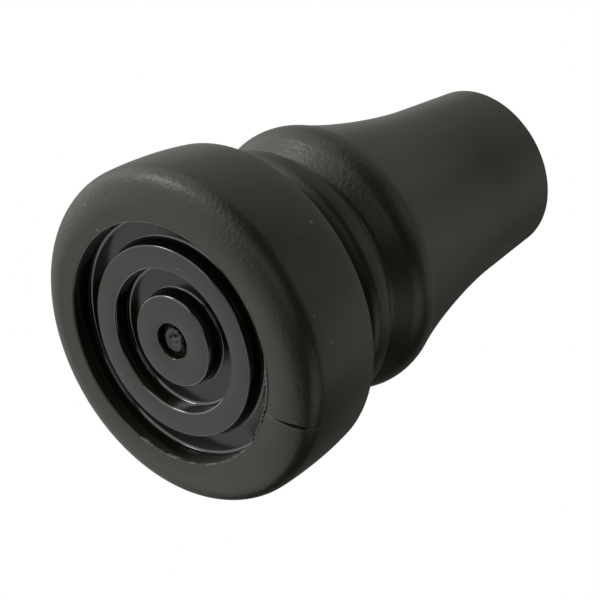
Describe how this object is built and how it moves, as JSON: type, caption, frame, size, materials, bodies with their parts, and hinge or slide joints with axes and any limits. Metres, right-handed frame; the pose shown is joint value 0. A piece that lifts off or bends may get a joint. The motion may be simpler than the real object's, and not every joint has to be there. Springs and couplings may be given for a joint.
{
  "type": "rubber cane tip",
  "caption": "Moulded rubber cane tip with a wide ringed foot, a flexible flanged neck and a tapering blind socket for the cane's end.",
  "frame": {"origin": "centre of the sole, on the plane of the lip that the tip stands on", "axes": "+Z along the axis, from the sole to the mouth of the socket; X and Y are radial, and the section is the same all round"},
  "size_m": [0.05, 0.05, 0.07],
  "materials": {
    "matte_rubber": "matte black rubber with a fine moulded grain",
    "glossy_rubber": "the same rubber, smooth and satin in the ringed sole"
  },
  "bodies": {
    "root": {"cane_tip": "matte_rubber"}
  },
  "joints": []
}
